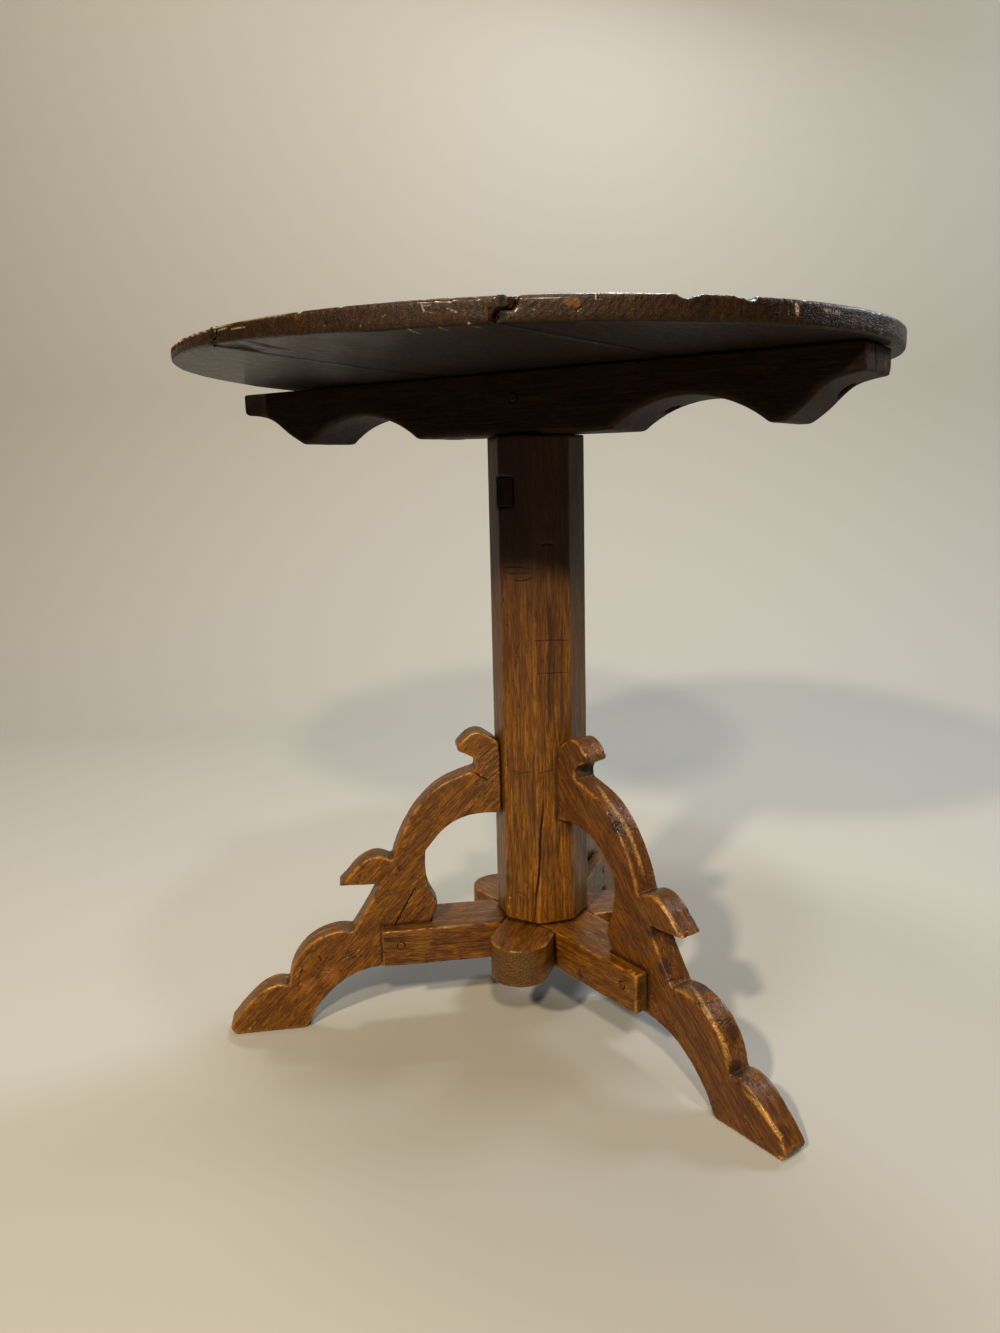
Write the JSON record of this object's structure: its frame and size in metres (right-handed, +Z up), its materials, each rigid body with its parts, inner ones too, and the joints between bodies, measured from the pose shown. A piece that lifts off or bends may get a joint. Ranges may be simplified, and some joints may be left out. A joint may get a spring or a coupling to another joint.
{
  "type": "pedestal table",
  "caption": "Round wooden pedestal table: lapped-board top on a scalloped bearer, octagonal column, crossed-bar foot with fretted plank legs.",
  "frame": {"origin": "on the floor, on the column's axis, under the middle of the round top", "axes": "+Z up; -Y is the front that the picture was taken from, with one leg towards -X, one towards the front right and one towards the back"},
  "size_m": [0.734, 0.734, 0.744],
  "materials": {
    "top_wood": "dark waxed hardwood, worn along the rim",
    "bearer_wood": "near-black aged hardwood",
    "peg_wood": "dark end-grain peg",
    "column_wood": "waxed hardwood, darker towards the top",
    "patch_wood": "dark let-in patch",
    "wedge_wood": "raw pale wedge, hidden",
    "foot_wood": "waxed honey-brown hardwood",
    "leg_wood": "waxed honey-brown hardwood, worn along the arrises",
    "screw_iron": "old dark iron"
  },
  "bodies": {
    "root": {"top_board_left": "top_wood", "top_board_middle": "top_wood", "top_board_right": "top_wood", "bearer": "bearer_wood", "bearer_peg": "peg_wood", "column": "column_wood", "column_patch": "patch_wood", "column_foot_wedge": "wedge_wood", "foot_bar_left": "foot_wood", "foot_bar_back": "foot_wood", "foot_bar_right": "foot_wood", "arm_peg_left": "peg_wood", "arm_peg_back": "peg_wood", "arm_peg_right": "peg_wood", "leg_left": "leg_wood", "leg_back": "leg_wood", "leg_right": "leg_wood", "screw_left_inner": "screw_iron", "screw_left_outer": "screw_iron", "screw_middle_left": "screw_iron", "screw_middle_right": "screw_iron", "screw_right_inner": "screw_iron", "screw_right_outer": "screw_iron"}
  },
  "joints": []
}
